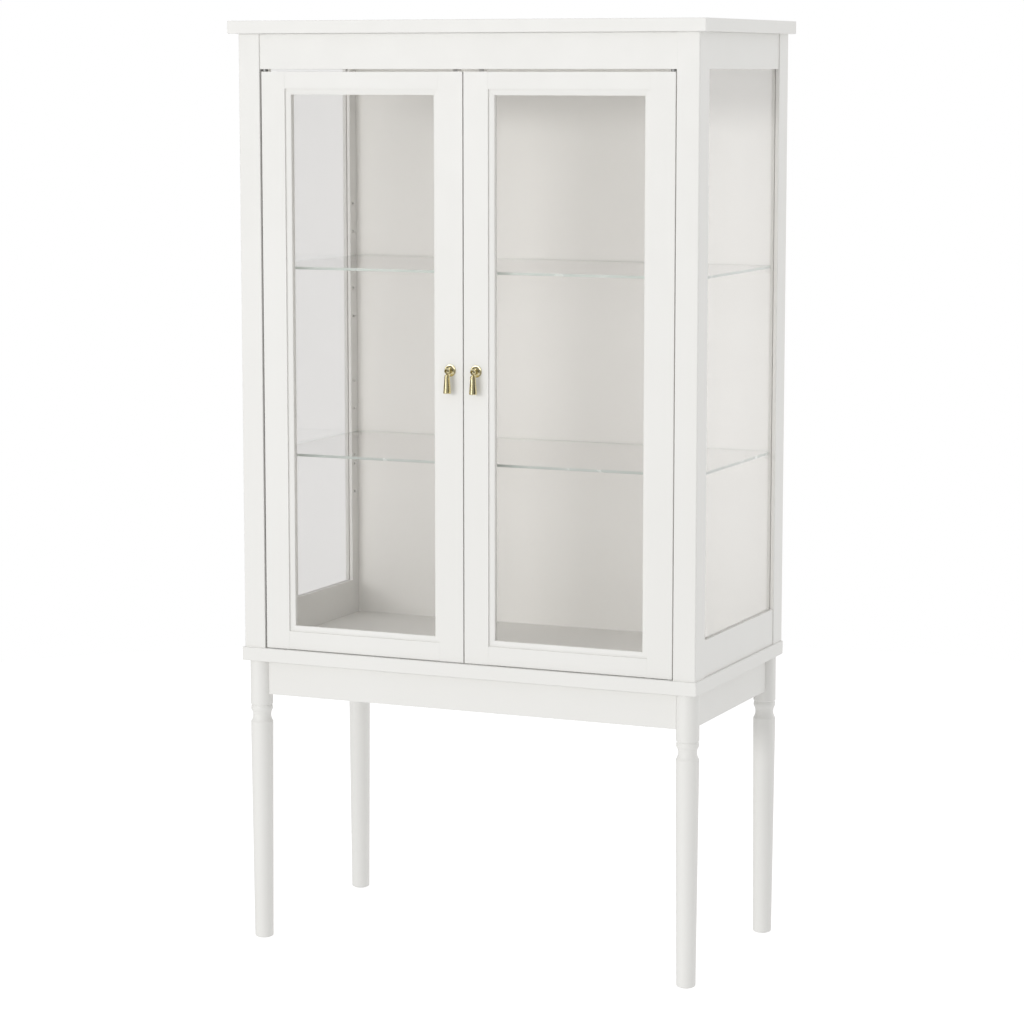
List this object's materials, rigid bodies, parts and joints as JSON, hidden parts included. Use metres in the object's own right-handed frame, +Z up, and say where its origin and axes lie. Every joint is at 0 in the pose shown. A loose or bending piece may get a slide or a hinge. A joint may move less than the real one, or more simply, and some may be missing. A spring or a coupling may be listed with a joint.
{
  "type": "display cabinet",
  "caption": "White free-standing display cabinet with glazed sides, hinged glass doors, glass shelves and drop pulls, on a stand with turned legs.",
  "frame": {"origin": "on the floor, at the centre of the plan box", "axes": "+Z up, -Y out of the doors' faces, +X to the right as seen from the front"},
  "size_m": [0.76, 0.3952, 1.4054],
  "materials": {
    "white_paint": "satin white paint",
    "white_hardboard": "smooth white foil",
    "bare_wood": "bare beech",
    "clear_glass": "clear float glass",
    "brass": "polished brass",
    "steel": "zinc plated",
    "white_plastic": "matte"
  },
  "bodies": {
    "cabinet": {"top_board": "white_paint", "bottom_board": "white_paint", "front_post_left": "white_paint", "front_post_right": "white_paint", "rear_post_left": "white_paint", "rear_post_right": "white_paint", "front_top_rail": "white_paint", "side_top_rail_left": "white_paint", "side_top_rail_right": "white_paint", "side_bottom_rail_left": "white_paint", "side_bottom_rail_right": "white_paint", "side_glass_left": "clear_glass", "side_glass_right": "clear_glass", "back_panel": "white_hardboard", "shelf_upper": "clear_glass", "shelf_lower": "clear_glass", "shelf_pins": "white_plastic", "apron_front": "white_paint", "apron_rear": "white_paint", "apron_left": "white_paint", "apron_right": "white_paint", "leg_front_left": "white_paint", "leg_front_right": "white_paint", "leg_rear_left": "white_paint", "leg_rear_right": "white_paint", "foot_glides": "white_plastic", "corner_brackets": "steel", "bracket_screws": "steel", "leg_bolts": "steel", "leg_nuts": "steel", "base_screws": "steel", "case_dowels": "bare_wood", "hinge_frame_leaves": "steel", "hinge_frame_screws": "steel", "magnet_catches": "white_plastic", "catch_screws": "steel"},
    "left_door": {"left_door_hinge_stile": "white_paint", "left_door_meeting_stile": "white_paint", "left_door_top_rail": "white_paint", "left_door_bottom_rail": "white_paint", "left_door_glass": "clear_glass", "left_door_glazing_beads": "white_paint", "left_door_hinge_leaves": "steel", "left_door_hinge_screws": "steel", "left_door_strike_plate": "steel", "left_pull_rosette": "brass", "left_pull_screw": "steel"},
    "left_pull": {"left_pull_drop": "brass"},
    "right_door": {"right_door_hinge_stile": "white_paint", "right_door_meeting_stile": "white_paint", "right_door_top_rail": "white_paint", "right_door_bottom_rail": "white_paint", "right_door_glass": "clear_glass", "right_door_glazing_beads": "white_paint", "right_door_hinge_leaves": "steel", "right_door_hinge_screws": "steel", "right_door_strike_plate": "steel", "right_pull_rosette": "brass", "right_pull_screw": "steel"},
    "right_pull": {"right_pull_drop": "brass"}
  },
  "joints": [
    {"name": "left_door_hinge", "type": "hinge", "parent": "cabinet", "child": "left_door", "pos_m": [-0.3256, -0.175, 0.9], "axis": [0, 0, -1], "range_deg": [0, 105]},
    {"name": "left_pull_swing", "type": "hinge", "parent": "left_door", "child": "left_pull", "pos_m": [-0.02085, -0.1917, 0.8948], "axis": [-1, 0, 0], "range_deg": [-8, 80]},
    {"name": "right_door_hinge", "type": "hinge", "parent": "cabinet", "child": "right_door", "pos_m": [0.3256, -0.175, 0.9], "axis": [0, 0, 1], "range_deg": [0, 105]},
    {"name": "right_pull_swing", "type": "hinge", "parent": "right_door", "child": "right_pull", "pos_m": [0.02085, -0.1917, 0.8948], "axis": [-1, 0, 0], "range_deg": [-8, 80]}
  ]
}
